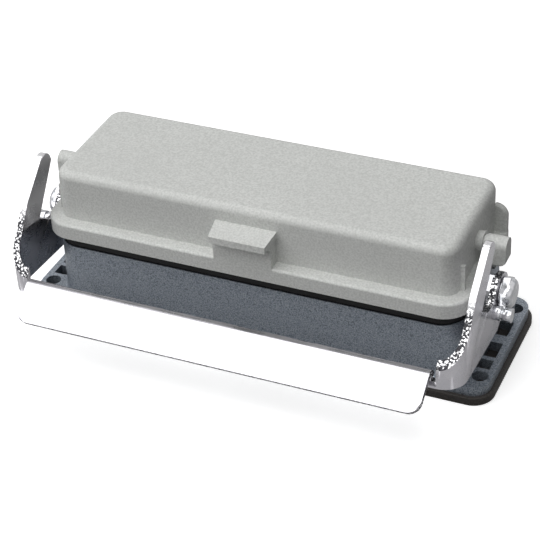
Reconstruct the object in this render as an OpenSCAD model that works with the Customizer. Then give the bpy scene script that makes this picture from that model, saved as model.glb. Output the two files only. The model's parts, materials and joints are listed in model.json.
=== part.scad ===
/* [Mounting flange] */
// Distance of the flange ends outside the collar ends
flange_end = 7.4; // [7:0.1:9]
// Distance of the flange sides outside the collar sides
flange_side = 1; // [0.8:0.1:3]
// Thickness of the cast flange
flange_t = 3; // [2.4:0.1:5]
// Corner radius of the flange
flange_r = 5; // [3:0.5:7]
// Distance of the hole centres from the flange ends
hole_end = 3.4; // [3.2:0.1:3.6]
// Distance of the hole centres from the flange sides
hole_side = 5.5; // [4.5:0.1:6]
// Diameter of each mounting hole
hole_d = 4.4; // [3.4:0.1:4.6]
// Width of each weight-saving window in from the flange end
pocket_w = 4; // [3:0.2:4.4]
// Width of the wall left outside the windows
flange_rim = 1.8; // [1.2:0.1:2.2]

/* [Flange gasket] */
// Thickness of the flange gasket
gasket_t = 2.5; // [1.5:0.1:4]
// How far the gasket reaches past the flange
gasket_margin = 1.1; // [0.4:0.1:2]

/* [Collar] */
// Length of the collar at its foot
collar_l = 122; // [120:0.2:123]
// Width of the collar at its foot
collar_w = 41; // [40:0.2:41.4]
// Corner radius of the collar at its foot
collar_r = 8; // [6:0.5:10]
// Height of the collar rim above the panel
collar_top = 22.4; // [21.4:0.2:23.4]
// Wall thickness of the collar at its foot
collar_wall = 3.2; // [2.8:0.1:3.6]
// Inward lean of the collar wall from foot to rim
collar_draft = 0.4; // [0.2:0.1:0.6]
// Radius of the blend between collar and flange
foot_r = 1; // [0.5:0.1:1.4]

/* [Rim seal] */
// Width of the seal where it stands on the rim
seal_w = 2.4; // [2:0.1:2.6]
// Height of the seal above the collar rim
seal_h = 4.8; // [4.2:0.1:5.4]
// Width of the groove in the rim that holds the seal
groove_w = 1.4; // [1:0.1:1.6]
// Depth of the groove in the rim
groove_depth = 1.2; // [0.6:0.1:2]

/* [Cover] */
// Distance of the cover's end walls inside the collar ends
cover_end = 2.4; // [2:0.1:3]
// Distance of the cover's long walls inside the collar sides
cover_side = 1.7; // [1.4:0.1:2]
// Height of the cover from its rim to its top
cover_h = 19.3; // [16:0.5:26]
// Wall thickness of the cover
cover_wall = 2.2; // [1.8:0.1:2.6]
// Corner radius of the cover walls
cover_r = 4.5; // [3.5:0.5:6]
// Radius round the top edge of the cover
crown_r = 2.4; // [1.5:0.1:3]
// How far the lip stands out from the cover wall
lip_out = 3.8; // [3.4:0.1:4]
// Height of the lip
lip_h = 4.6; // [3.8:0.1:5]
// Radius along the top edge of the lip
lip_edge_r = 0.8; // [0.4:0.1:1.2]
// Depth of the seat for the seal in the cover's rim
seat_depth = 0.6; // [0.3:0.1:1]
// Number of stiffening ribs under the cover's top
rib_count = 5; // [3:1:7]
// Thickness of a stiffening rib
rib_t = 1.4; // [1:0.1:2]
// Height of a stiffening rib
rib_h = 3; // [2:0.5:4]

/* [Latch] */
// Width of the latch body on the front wall
latch_w = 17; // [14:0.5:20]
// Height of the latch body above the cover's rim
latch_h = 10.6; // [9:0.2:11.5]
// Width of the finger tab at the wall
tab_w = 18; // [17:0.5:24]
// Thickness of the finger tab
tab_t = 2; // [1.6:0.1:2.6]
// How far the finger tab stands out past the latch body
tab_out = 2.9; // [1.5:0.1:4]
// Height of the finger tab's top above the latch body
tab_rise = 3.8; // [3:0.1:4.4]
// Drop of the finger tab from the wall to its edge
tab_drop = 1.2; // [0.4:0.1:2]

/* [Locking pegs and ears] */
// Height of a locking peg
peg_h = 8.2; // [7.6:0.1:8.4]
// Thickness of a locking peg
peg_t = 5; // [4:0.1:5.4]
// Height of the peg's top above the cover's rim
peg_z = 13.4; // [13:0.1:13.6]
// Diameter of the round neck between cover and peg
neck_d = 5.5; // [4.5:0.1:6]
// Length of the round neck between cover and peg
peg_neck = 2.7; // [2.5:0.1:3]
// Length of the locking peg past its neck
peg_l = 5.7; // [5:0.1:6.5]
// Thickness of the hinge-side ear on each end wall
ear_t = 2; // [1.5:0.1:3]
// How far the ear stands out from the end wall
ear_out = 3.4; // [2:0.1:3.8]
// Height of the ear above the lip
ear_h = 8.2; // [6:0.2:9]

/* [Locking lever] */
// Thickness of the lever's steel sheet
sheet_t = 1.8; // [1.5:0.1:2]
// Distance of the arms' outer faces outside the collar ends
arm_out = 5.2; // [5.2:0.1:5.6]
// Outer radius of the bends between arms and web
bend_r = 6.5; // [5:0.5:6.5]
// Distance of the web's outer face in front of the pivot
web_reach = 34.8; // [34:0.2:37]
// Height of the web
web_h = 5.6; // [4.6:0.1:6.2]
// Distance of the handle's ends from the outer faces of the arms
handle_end = 7.5; // [7.5:0.1:12]
// Width of the handle plate past its fold
handle_w = 10.1; // [8:0.1:12]
// Slope of the handle below level
handle_slope = 37; // [30:1:45]
// Inner radius of the handle's fold
fold_r = 1; // [0.8:0.1:1.4]
// Corner radius of the handle plate
handle_r = 3.5; // [2:0.1:5]
// Angle that the lever turns from open to locked
lock_angle = 66; // [64:1:67]
// Radius of the hook's mouth beyond half the peg's height
hook_gap = 1.3; // [1.1:0.1:1.4]
// How far the mouth's centre lies nearer the pivot than the peg
hook_pull = 0.2; // [0.1:0.1:0.4]

/* [Pivot] */
// Distance of the pivot in front of the housing's middle
pivot_front = 2; // [1.6:0.1:2.4]
// Height of the pivot above the panel
pivot_z = 24; // [23.6:0.1:24.4]
// Diameter of the journal that carries the lever
journal_d = 7; // [6:0.1:7.4]
// Diameter of the stud where it is riveted in the housing
stud_d = 5; // [4:0.1:5.6]
// Diameter of the stud's thread in the cap nut
thread_d = 4.5; // [4:0.1:5]
// Width across flats of the stud's collar and the cap nut
nut_af = 8.4; // [8:0.1:8.6]
// Thickness of the stud's hexagon collar
hex_t = 1.7; // [1.4:0.1:1.8]
// Radius of the cast eye round the pivot
eye_r = 5.5; // [4.5:0.1:5.8]
// Thickness of the cast eye
eye_t = 2.2; // [1.8:0.1:2.3]
// Thickness of the spring washer
washer_t = 0.5; // [0.3:0.1:0.7]
// Height of the cap nut's hexagon
nut_h = 1.7; // [1.4:0.1:2.6]
// Height of the cap nut's dome
dome_h = 1.5; // [1.2:0.1:1.8]

/* [Stop studs] */
// Diameter of a stop stud
stop_d = 4; // [3.6:0.1:4.2]
// Length of a stop stud outside the arm
stop_out = 5; // [3:0.1:6]
// Thickness of the stop stud's inner head
stop_head = 0.9; // [0.6:0.1:1.1]
// Diameter of the stop stud's shank
shank_d = 2.8; // [2.4:0.1:3]

/* [Hinge] */
// Distance of each hinge from the collar end
hinge_end = 23; // [18:0.5:30]
// Diameter of the hinge pins
hinge_pin_d = 3; // [2.4:0.1:3.2]
// Radius of the hinge knuckles
knuckle_r = 2.8; // [2.5:0.1:2.9]
// Length of a cover knuckle
knuckle_l = 9; // [6:0.5:12]
// Width of each cast hinge lug
lug_w = 4; // [3:0.5:6]
// Distance of the hinge axis behind the lip
hinge_out = 3.2; // [3.2:0.1:3.6]

/* [Contact insert] */
// Number of contacts in each row
contacts_per_row = 12; // [8:1:12]
// Distance of the last contacts from the ends of the mating face
row_end = 5.4; // [4:0.1:7]
// Distance of each row from the sides of the mating face
row_side = 6; // [5.6:0.1:6.6]
// Distance of the insert's lower block from the collar's inner end
block_end = 10.3; // [10.1:0.1:11]
// Gap between the insert's lower block and the collar's sides
block_side = 1; // [0.8:0.1:1.6]
// Step from the lower block in to the ends of the mating face
face_end = 2.5; // [2:0.1:3.5]
// Step from the lower block in to the sides of the mating face
face_side = 4.3; // [3.8:0.1:5]
// Height of the insert's mating face above the panel
face_z = 30; // [28:0.5:31]
// Height of the insert's underside above the panel
block_z = 1; // [0.5:0.1:1.5]
// Distance of the fixing screws from the collar's inner ends
screw_end = 5.8; // [5.6:0.1:6]
// Distance of the fixing screws from the collar's inner sides
screw_side = 3.8; // [3.6:0.1:4]
// Thickness of the earth plates
plate_t = 1.5; // [1:0.1:2]
// Height of the fixing pillars' tops above the panel
pillar_z = 17; // [15:0.5:18]
// Radius of the fixing pillars
pillar_r = 3.2; // [2.8:0.1:3.4]
// Thread diameter of the fixing screws
screw_d = 3; // [2.5:0.1:3.2]
// Outer diameter of a contact sleeve
sleeve_d = 4; // [3.6:0.1:4.4]
// Bore of a contact sleeve
socket_d = 2.5; // [2:0.1:2.6]
// Diameter of the terminal screw heads
terminal_d = 4.2; // [3.6:0.1:4.4]

/* [Fits] */
// Clearance between pieces that touch without moving
seat_gap = 0.02; // [0.01:0.01:0.05]
// Radial clearance of the lever and hinge bearings
run_gap = 0.06; // [0.03:0.01:0.1]
// Side clearance between pieces that move past each other
side_gap = 0.3; // [0.2:0.05:0.3]

/* [Hidden] */
$fn = 48;
// Faces on pieces that are repeated many times
small_fn = 24;
// Overlap that joins one solid's own features
join = 0.2;

casting_grey = [0.60, 0.60, 0.57];
cover_grey = [0.66, 0.67, 0.66];
rubber_black = [0.10, 0.10, 0.10];
gasket_brown = [0.27, 0.25, 0.24];
zinc = [0.80, 0.80, 0.84];
bright_steel = [0.72, 0.73, 0.75];
insulator_grey = [0.80, 0.79, 0.74];
contact_gold = [0.82, 0.68, 0.38];

// Lengths that follow the collar
flange_l = collar_l + 2 * flange_end;
flange_w = collar_w + 2 * flange_side;
hole_pitch_x = flange_l - 2 * hole_end;
hole_pitch_y = flange_w - 2 * hole_side;
inner_l = collar_l - 2 * collar_wall;
inner_w = collar_w - 2 * collar_wall;
inner_r = collar_r - collar_wall;
cover_l = collar_l - 2 * cover_end;
cover_w = collar_w - 2 * cover_side;
lever_w = collar_l + 2 * arm_out;
handle_l = lever_w - 2 * handle_end;
hinge_x = collar_l / 2 - hinge_end;

// Lengths that follow the room inside the collar
block_l = inner_l - 2 * block_end;
block_w = inner_w - 2 * block_side;
face_l = block_l - 2 * face_end;
face_w = block_w - 2 * face_side;
row_pitch = face_w - 2 * row_side;
contact_pitch = (face_l - 2 * row_end) / (contacts_per_row - 1);
insert_pitch_x = inner_l - 2 * screw_end;
insert_pitch_y = inner_w - 2 * screw_side;

// Levels above the panel
flange_top = gasket_t + flange_t;
rim_z = collar_top + seal_h - seat_depth;
lip_top = rim_z + lip_h;
cover_top = rim_z + cover_h;

// Places of the pivot
pivot_y = -pivot_front;
sheet_in = lever_w / 2 - sheet_t;
hex_x = sheet_in - run_gap - hex_t;
eye_in = hex_x - eye_t;
washer_x = lever_w / 2 + run_gap;
nut_x = washer_x + washer_t;

// Lever in its open position, seen from the side
peg_y = 0;
peg_top_z = rim_z + peg_z;
peg_mid_z = peg_top_z - peg_h / 2;
peg_dy = peg_y - pivot_y;
peg_dz = peg_mid_z - pivot_z;
peg_reach = norm([peg_dy, peg_dz]);
peg_bearing = atan2(peg_dz, peg_dy);
mouth_bearing = peg_bearing + lock_angle;
mouth_reach = peg_reach - hook_pull;
mouth_y = pivot_y + mouth_reach * cos(mouth_bearing);
mouth_z = pivot_z + mouth_reach * sin(mouth_bearing);
mouth_r = peg_h / 2 + hook_gap;
jaw_turn = 54;
jaw_l = 3 * mouth_r;
tip_y = pivot_y - 10.9;
tip_z = pivot_z + 19.3;
tip_r = 3.3;
web_y = pivot_y - web_reach;
web_bottom = pivot_z - 8.5;
web_top = web_bottom + web_h;
lobe_r = 5.4;
fold_mid = fold_r + sheet_t / 2;
fold_turn = 90 + handle_slope;
fold_y = web_y - fold_r;
fold_z = web_top + 0.4 - fold_r - sheet_t;
relief = 1;
touch_depth = 0.05;
arm_front = [
    [pivot_y - 22.3, pivot_z + 13.6], [pivot_y - 26.9, pivot_z + 6.8], [pivot_y - 30.3, pivot_z + 2.9]
];
tongue = [[pivot_y - 3, web_bottom - 2.2], [pivot_y + 0.2, web_bottom + 0.2]];
lever_back = pivot_y + lobe_r + 1;
stop_behind = 6.7;
stop_below = 2.1;
stop_y = pivot_y - stop_behind;
stop_z = pivot_z - stop_below;
stop_ring_w = 0.8;
stop_ring_depth = 0.5;

// Distance of the seal's outer side inside the collar's foot
seal_in = collar_draft + side_gap;

// Hinge axis
hinge_y = cover_w / 2 + lip_out + hinge_out;
hinge_z = rim_z + 0.1;
hinge_half = knuckle_l / 2 + side_gap + lug_w;

// Ends of the cover
wall_x = cover_l / 2;
neck_x = wall_x + peg_neck;
peg_x = neck_x + peg_l;
ear_y = 14.5;
low_rib_y = -14.5;
peg_chamfer = 1.6;
peg_bevel = 0.8;
neck_z = peg_top_z + 0.5 - neck_d / 2;
neck_groove = 0.8;
eye_room = 1;
low_rib_h = 7.6;
low_rib_out = 1.2;
low_rib_t = 1;
rib_pitch = cover_l / (rib_count + 1);
tab_z = rim_z + latch_h + tab_rise;
tab_taper = 0.8;

// Insert
contact_mid = (contacts_per_row - 1) / 2;
sleeve_foot = 6;
sleeve_sink = 0.6;
socket_depth = 12;
terminal_y = row_pitch / 2 + 6.2;
channel_w = 6;
channel_h = 7;
terminal_h = 4;
tongue_end = 5.8;
tongue_l = inner_l - 2 * tongue_end;
tongue_w = 16;
tongue_z = 8;
screw_bite = 6;
screw_head_d = 5.4;
screw_head_h = 1.8;
slot_w = 0.8;
slot_depth = 0.7;
earth_end = 7.8;
earth_x = inner_l / 2 - earth_end;
plate_gap_x = 1.8;
plate_gap_y = 0.8;
plate_end = inner_l / 2 - plate_gap_x;
plate_w = inner_w - 2 * plate_gap_y;
plate_cut = 4;
insert_r = 1.5;

// Cast features at the flange ends: places along the end and sizes
pocket_cells = [[-12.6, -8.6], [-7.2, -0.6], [3, 9.5]];
boss_y = 10.4;
boss_w = 2.2;
boss_out = 5;
boss_h = 5.5;

module mirror_x() {
    children();
    mirror([1, 0, 0]) children();
}

module four_corners(dx, dy) {
    for (sx = [-1, 1], sy = [-1, 1])
        translate([sx * dx / 2, sy * dy / 2, 0]) children();
}

// Rectangle with round corners, made of true arcs
module round_rect(l, w, r) {
    square([l - 2 * r, w], center = true);
    square([l, w - 2 * r], center = true);
    four_corners(l - 2 * r, w - 2 * r) circle(r);
}

// Carries a section round a rectangle with round corners.
// The section's x is the distance outside the rectangle and its y is the height.
module frame_sweep(l, w, r) {
    for (turn = [0, 180]) rotate(turn) {
        translate([l / 2, w / 2 - r, 0]) rotate([90, 0, 0])
            linear_extrude(w - 2 * r) children();
        translate([r - l / 2, w / 2, 0]) rotate([90, 0, 90])
            linear_extrude(l - 2 * r) children();
    }
    for (sx = [0, 1], sy = [0, 1])
        mirror([sx, 0, 0]) mirror([0, sy, 0])
            translate([l / 2 - r, w / 2 - r, 0])
                rotate_extrude(angle = 90) translate([r, 0]) children();
}

// Turns a side view (y, z) into a solid along X
module side_extrude(x0, x1) {
    translate([x0, 0, 0]) rotate([90, 0, 90]) linear_extrude(x1 - x0) children();
}

// Cylinder along X
module rod_x(x0, x1, r, y = 0, z = 0, fn = $fn) {
    translate([x0, y, z]) rotate([0, 90, 0]) cylinder(h = x1 - x0, r = r, $fn = fn);
}

module hex_x(x0, x1, flats, y, z) {
    translate([x0, y, z]) rotate([0, 90, 0]) cylinder(h = x1 - x0, d = flats / cos(30), $fn = 6);
}

// ---- Housing ----

// Section of the collar wall: draft outside, straight inside
module collar_section() {
    foot = flange_top - join;
    polygon([
        [-collar_wall - join, foot], [0, foot],
        [-collar_draft, collar_top], [-collar_wall - join, collar_top]
    ]);
    difference() {
        translate([-foot_r, foot]) square([2 * foot_r, foot_r + join]);
        translate([foot_r, flange_top + foot_r]) circle(foot_r);
    }
}

module rim_groove_section() {
    translate([-(seal_in + seal_w / 2) - groove_w / 2, collar_top - groove_depth])
        square([groove_w, groove_depth + join]);
}

module flange_plate() {
    translate([0, 0, gasket_t]) linear_extrude(flange_t) round_rect(flange_l, flange_w, flange_r);
}

// One end's windows between the two holes
module flange_pockets() {
    mid_x = flange_l / 2 - flange_rim - pocket_w / 2;
    for (cell = pocket_cells)
        translate([mid_x - pocket_w / 2, cell[0], gasket_t - join])
            cube([pocket_w, cell[1] - cell[0], flange_t + 2 * join]);
}

module hinge_lugs() {
    for (side = [-1, 1]) {
        inner = knuckle_l / 2 + side_gap;
        x0 = side > 0 ? inner : -inner - lug_w;
        translate([hinge_x, 0, 0]) {
            rod_x(x0, x0 + lug_w, knuckle_r, hinge_y, hinge_z);
            side_extrude(x0, x0 + lug_w) polygon([
                [hinge_y - knuckle_r + join, hinge_z], [hinge_y + knuckle_r - join, hinge_z],
                [hinge_y + knuckle_r - 1, hinge_z - 6], [collar_w / 2 - 1, flange_top + 2],
                [collar_w / 2 - 1, collar_top - 4]
            ]);
        }
    }
}

module pivot_eye() {
    rod_x(eye_in, hex_x, eye_r, pivot_y, pivot_z);
    translate([eye_in, pivot_y - eye_r, flange_top - join])
        cube([eye_t, 2 * eye_r, pivot_z - flange_top + join]);
}

// Boss for the fixing screws of the insert, standing in a corner of the collar
module fixing_pillars() {
    four_corners(insert_pitch_x, insert_pitch_y)
        translate([0, 0, gasket_t]) cylinder(h = pillar_z - gasket_t, r = pillar_r);
    for (sx = [-1, 1], sy = [-1, 1])
        translate([sx * (insert_pitch_x / 2 + pillar_r), sy * (insert_pitch_y / 2 + 1), gasket_t])
            translate([-pillar_r, -pillar_r, 0])
                cube([2 * pillar_r, 2 * pillar_r, pillar_z - gasket_t]);
}

module housing() {
    color(casting_grey) difference() {
        union() {
            difference() {
                union() {
                    flange_plate();
                    frame_sweep(collar_l, collar_w, collar_r) collar_section();
                }
                translate([0, 0, gasket_t - join]) linear_extrude(collar_top)
                    round_rect(inner_l, inner_w, inner_r);
                frame_sweep(collar_l, collar_w, collar_r) rim_groove_section();
                mirror_x() flange_pockets();
            }
            mirror_x() {
                pivot_eye();
                hinge_lugs();
                screw_boss();
            }
            fixing_pillars();
        }
        four_corners(hole_pitch_x, hole_pitch_y)
            translate([0, 0, gasket_t - join]) cylinder(h = flange_t + 2 * join, d = hole_d);
        mirror_x() {
            rod_x(eye_in - join, hex_x + join, stud_d / 2 + seat_gap, pivot_y, pivot_z);
            translate([hinge_x, 0, 0])
                rod_x(-hinge_half, hinge_half, hinge_pin_d / 2 + seat_gap, hinge_y, hinge_z);
        }
        four_corners(insert_pitch_x, insert_pitch_y)
            translate([0, 0, pillar_z - screw_bite]) cylinder(h = screw_bite + join, d = screw_d + 2 * seat_gap);
    }
}

// Cast stop beside the rear hole that keeps a screwdriver off the collar
module screw_boss() {
    translate([collar_l / 2 - join, boss_y, flange_top - join])
        cube([boss_out, boss_w, boss_h + join]);
}

// ---- Seals ----

module flange_gasket() {
    color(gasket_brown) difference() {
        linear_extrude(gasket_t) round_rect(
            flange_l + 2 * gasket_margin, flange_w + 2 * gasket_margin, flange_r + gasket_margin
        );
        translate([0, 0, -join]) linear_extrude(gasket_t + 2 * join)
            round_rect(inner_l, inner_w, inner_r);
        four_corners(hole_pitch_x, hole_pitch_y)
            translate([0, 0, -join]) cylinder(h = gasket_t + 2 * join, d = hole_d);
    }
}

module rim_seal() {
    color(rubber_black) frame_sweep(collar_l, collar_w, collar_r) {
        translate([-seal_in - seal_w, collar_top]) square([seal_w, seal_h]);
        translate([-(seal_in + seal_w / 2) - groove_w / 2 + seat_gap, collar_top - groove_depth + seat_gap])
            square([groove_w - 2 * seat_gap, groove_depth]);
    }
}

// ---- Cover ----

module cover_wall_section() {
    translate([-cover_wall, rim_z]) square([cover_wall, cover_h - crown_r]);
    intersection() {
        translate([-crown_r, cover_top - crown_r]) circle(crown_r);
        translate([-crown_r, cover_top - crown_r - join]) square(crown_r + join);
    }
    translate([-crown_r - join, cover_top - cover_wall]) square([2 * join, cover_wall]);
}

module lip_section() {
    translate([-join, rim_z]) square([lip_out + join, lip_h - lip_edge_r]);
    translate([-join, rim_z]) square([lip_out + join - lip_edge_r, lip_h]);
    translate([lip_out - lip_edge_r, lip_top - lip_edge_r]) circle(lip_edge_r);
}

module seat_section() {
    translate([-seal_in - seal_w - side_gap, rim_z - join])
        square([seal_w + 2 * side_gap, seat_depth + join]);
}

module latch() {
    wall_y = -cover_w / 2;
    translate([-latch_w / 2, wall_y - lip_out, rim_z + lip_h / 2])
        cube([latch_w, lip_out + join, latch_h - lip_h / 2]);
    side_extrude(-latch_w / 2, latch_w / 2) polygon([
        [wall_y + join, rim_z + latch_h - join], [wall_y - lip_out, rim_z + latch_h - join],
        [wall_y - lip_out - tab_out / 2, tab_z - tab_drop - tab_t + join],
        [wall_y + join, tab_z - tab_t]
    ]);
    intersection() {
        side_extrude(-tab_w / 2, tab_w / 2) polygon([
            [wall_y + join, tab_z - tab_t], [wall_y + join, tab_z],
            [wall_y - lip_out - tab_out, tab_z - tab_drop],
            [wall_y - lip_out - tab_out, tab_z - tab_drop - tab_t]
        ]);
        translate([0, 0, rim_z]) linear_extrude(cover_h) polygon([
            [-tab_w / 2, wall_y + join], [tab_w / 2, wall_y + join],
            [tab_w / 2 - tab_taper, wall_y - lip_out - tab_out],
            [tab_taper - tab_w / 2, wall_y - lip_out - tab_out]
        ]);
    }
}

// Side view of a locking peg: round top, flat sides, bevelled foot
module peg_outline() {
    half = peg_t / 2;
    foot = peg_top_z - peg_h;
    translate([peg_y, peg_top_z - half]) circle(half);
    polygon([
        [peg_y - half, peg_top_z - half], [peg_y + half, peg_top_z - half],
        [peg_y + half, foot + peg_bevel], [peg_y + half - peg_bevel, foot],
        [peg_y - half + peg_bevel, foot], [peg_y - half, foot + peg_bevel]
    ]);
}

// The peg that a hook closes on: a neck, a groove and an upright head
module locking_peg(side) {
    color(cover_grey) at_end(side) {
        rod_x(wall_x, neck_x - neck_groove, neck_d / 2, peg_y, neck_z);
        rod_x(wall_x, neck_x + join, neck_d / 2 - neck_groove, peg_y, neck_z);
        difference() {
            side_extrude(neck_x, peg_x) peg_outline();
            translate([peg_x, 0, peg_top_z - peg_h]) rotate([0, 45, 0])
                cube([peg_chamfer * sqrt(2), 2 * peg_h, peg_chamfer * sqrt(2)], center = true);
        }
    }
}

// Ear that backs the hinge side of an end wall, with one round corner
module end_ear() {
    top = lip_top + ear_h;
    translate([0, ear_y + ear_t, 0]) rotate([90, 0, 0]) linear_extrude(ear_t) {
        translate([wall_x - join, lip_top - join]) square([ear_out + join, ear_h + join - ear_out]);
        translate([wall_x - join, lip_top]) square([2 * join, ear_h]);
        intersection() {
            translate([wall_x, top - ear_out]) circle(ear_out);
            translate([wall_x, top - ear_out - join]) square(ear_out + join);
        }
    }
}

module knuckle() {
    rod_x(-knuckle_l / 2, knuckle_l / 2, knuckle_r, hinge_y, hinge_z);
    side_extrude(-knuckle_l / 2, knuckle_l / 2) polygon([
        [cover_w / 2 + lip_out - 1, rim_z], [hinge_y, hinge_z - knuckle_r],
        [hinge_y, hinge_z + knuckle_r], [cover_w / 2 + lip_out - 1, lip_top - lip_edge_r]
    ]);
}

module cover() {
    roof_z = cover_top - cover_wall;
    color(cover_grey) difference() {
        union() {
            difference() {
                union() {
                    frame_sweep(cover_l, cover_w, cover_r) {
                        cover_wall_section();
                        lip_section();
                    }
                    translate([0, 0, roof_z]) linear_extrude(cover_wall) round_rect(
                        cover_l - 2 * crown_r, cover_w - 2 * crown_r, cover_r - crown_r
                    );
                }
                frame_sweep(collar_l, collar_w, collar_r) seat_section();
                mirror_x() eye_relief();
            }
            for (i = [0:rib_count - 1])
                translate([(i - (rib_count - 1) / 2) * rib_pitch - rib_t / 2, -cover_w / 2 + 1, roof_z - rib_h])
                    cube([rib_t, cover_w - 2, rib_h + join]);
            latch();
            mirror_x() {
                end_ear();
                translate([wall_x - join, low_rib_y, lip_top - join])
                    cube([low_rib_out + join, low_rib_t, low_rib_h + join]);
                translate([hinge_x, 0, 0]) knuckle();
            }
        }
        mirror_x() translate([hinge_x, 0, 0])
            rod_x(-hinge_half, hinge_half, hinge_pin_d / 2 + run_gap, hinge_y, hinge_z);
    }
}

// Room in the lip's ends for the pivot eyes
module eye_relief() {
    translate([eye_in - side_gap, pivot_y - eye_r - eye_room, rim_z - join])
        cube([2 * lip_out, 2 * (eye_r + eye_room), lip_h + 2 * join]);
}

// ---- Lever ----

// Plan of the bent sheet: two arms, two bends and the web
module lever_plan() {
    reach = lever_back - web_y;
    mid = web_y + reach / 2;
    difference() {
        union() {
            translate([-lever_w / 2, web_y + bend_r]) square([lever_w, reach - bend_r]);
            translate([bend_r - lever_w / 2, web_y]) square([lever_w - 2 * bend_r, bend_r + join]);
            for (side = [-1, 1])
                translate([side * (lever_w / 2 - bend_r), web_y + bend_r]) circle(bend_r);
        }
        translate([-sheet_in, web_y + bend_r]) square([2 * sheet_in, reach]);
        translate([bend_r - lever_w / 2, web_y + sheet_t])
            square([lever_w - 2 * bend_r, bend_r]);
        for (side = [-1, 1])
            translate([side * (lever_w / 2 - bend_r), web_y + bend_r]) circle(bend_r - sheet_t);
    }
}

// Where a line from a point touches a circle, a hair inside it so that the two cross cleanly
function touch(centre, r, point, side) =
    let (d = point - centre, turn = atan2(d[1], d[0]) + side * acos(r / norm(d)))
    centre + (r - touch_depth) * [cos(turn), sin(turn)];

// Side view of an arm with its hook, its eye and the web's height
module arm_outline() {
    difference() {
        union() {
            translate([tip_y, tip_z]) circle(tip_r);
            translate([pivot_y, pivot_z]) circle(lobe_r);
            polygon([
                touch([tip_y, tip_z], tip_r, arm_front[0], -1),
                arm_front[0], arm_front[1], arm_front[2],
                [web_y - join, web_top], [web_y - join, web_bottom],
                tongue[0], tongue[1],
                [pivot_y + lobe_r - 1, pivot_z - 1], [pivot_y, pivot_z],
                touch([tip_y, tip_z], tip_r, [pivot_y, pivot_z], 1)
            ]);
        }
        mouth();
    }
}

// The mouth and the way along which the peg enters it
module mouth() {
    far = 2 * mouth_reach;
    translate([mouth_y, mouth_z]) {
        circle(mouth_r);
        rotate(jaw_turn) translate([touch_depth - mouth_r, 0])
            square([mouth_r + jaw_l, mouth_r - touch_depth]);
    }
    intersection() {
        translate([pivot_y, pivot_z]) difference() {
            circle(mouth_reach + mouth_r);
            circle(mouth_reach - mouth_r);
        }
        translate([pivot_y, pivot_z]) polygon([
            [0, 0], far * [cos(mouth_bearing), sin(mouth_bearing)], [0, far], [far, 0]
        ]);
    }
}

// Side view of the fold between the web and the handle plate
module fold_outline() {
    out_r = fold_r + sheet_t;
    translate([fold_y, fold_z]) {
        difference() {
            circle(out_r);
            circle(fold_r);
            translate([-2 * out_r, -2 * out_r]) square([4 * out_r, 2 * out_r]);
            rotate(fold_turn) square([2 * out_r, 2 * out_r]);
        }
    }
}

// The handle plate, flat, with its free corners rounded
module handle_plan() {
    translate([-handle_l / 2, -join]) square([handle_l, handle_w - handle_r + join]);
    translate([handle_r - handle_l / 2, -join]) square([handle_l - 2 * handle_r, handle_w + join]);
    for (side = [-1, 1])
        translate([side * (handle_l / 2 - handle_r), handle_w - handle_r]) circle(handle_r);
}

module handle() {
    side_extrude(-handle_l / 2, handle_l / 2) fold_outline();
    translate([0, fold_y, fold_z]) rotate([fold_turn + 90, 0, 0])
        translate([0, 0, -fold_r - sheet_t]) linear_extrude(sheet_t) handle_plan();
}

module locking_lever() {
    color(zinc) {
        difference() {
            intersection() {
                linear_extrude(2 * tip_z) lever_plan();
                side_extrude(-lever_w, lever_w) arm_outline();
            }
            translate([-handle_l / 2, web_y - join, fold_z])
                cube([handle_l, sheet_t + 2 * join, tip_z]);
            mirror_x() {
                translate([handle_l / 2 - join, web_y - join, fold_z - relief])
                    cube([relief + join, sheet_t + 2 * join, tip_z]);
                rod_x(sheet_in - join, lever_w / 2 + join, journal_d / 2 + run_gap, pivot_y, pivot_z);
                rod_x(sheet_in - join, lever_w / 2 + join, shank_d / 2 + seat_gap, stop_y, stop_z);
            }
        }
        handle();
    }
}

// A side of 1 is the right end and -1 the left end
module at_end(side) {
    mirror([side > 0 ? 0 : 1, 0, 0]) children();
}

module stop_stud(side) {
    color(bright_steel) at_end(side) difference() {
        union() {
            rod_x(sheet_in - stop_head, sheet_in, stop_d / 2, stop_y, stop_z, small_fn);
            rod_x(sheet_in - join, lever_w / 2 + join, shank_d / 2, stop_y, stop_z, small_fn);
            rod_x(lever_w / 2, lever_w / 2 + stop_out, stop_d / 2, stop_y, stop_z, small_fn);
        }
        translate([lever_w / 2 + stop_out / 2 - stop_ring_w / 2, stop_y, stop_z])
            rotate([0, 90, 0]) rotate_extrude($fn = small_fn)
                translate([stop_d / 2 - stop_ring_depth, 0]) square([stop_d, stop_ring_w]);
    }
}

// ---- Pivots ----

module pivot_stud(side) {
    color(bright_steel) at_end(side) {
        rod_x(eye_in, hex_x + join, stud_d / 2, pivot_y, pivot_z);
        hex_x(hex_x, hex_x + hex_t, nut_af, pivot_y, pivot_z);
        rod_x(hex_x + hex_t - join, washer_x, journal_d / 2, pivot_y, pivot_z);
        rod_x(washer_x - join, nut_x + nut_h, thread_d / 2, pivot_y, pivot_z);
    }
}

module spring_washer(side) {
    color(bright_steel) at_end(side) difference() {
        rod_x(washer_x, nut_x, nut_af / 2, pivot_y, pivot_z);
        rod_x(washer_x - join, nut_x + join, thread_d / 2 + seat_gap, pivot_y, pivot_z);
    }
}

module cap_nut(side) {
    color(bright_steel) at_end(side) difference() {
        union() {
            hex_x(nut_x, nut_x + nut_h, nut_af, pivot_y, pivot_z);
            translate([nut_x + nut_h - join, pivot_y, pivot_z]) rotate([0, 90, 0])
                rotate_extrude() dome_section();
        }
        rod_x(nut_x - join, nut_x + nut_h + seat_gap, thread_d / 2 + seat_gap, pivot_y, pivot_z);
    }
}

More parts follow.
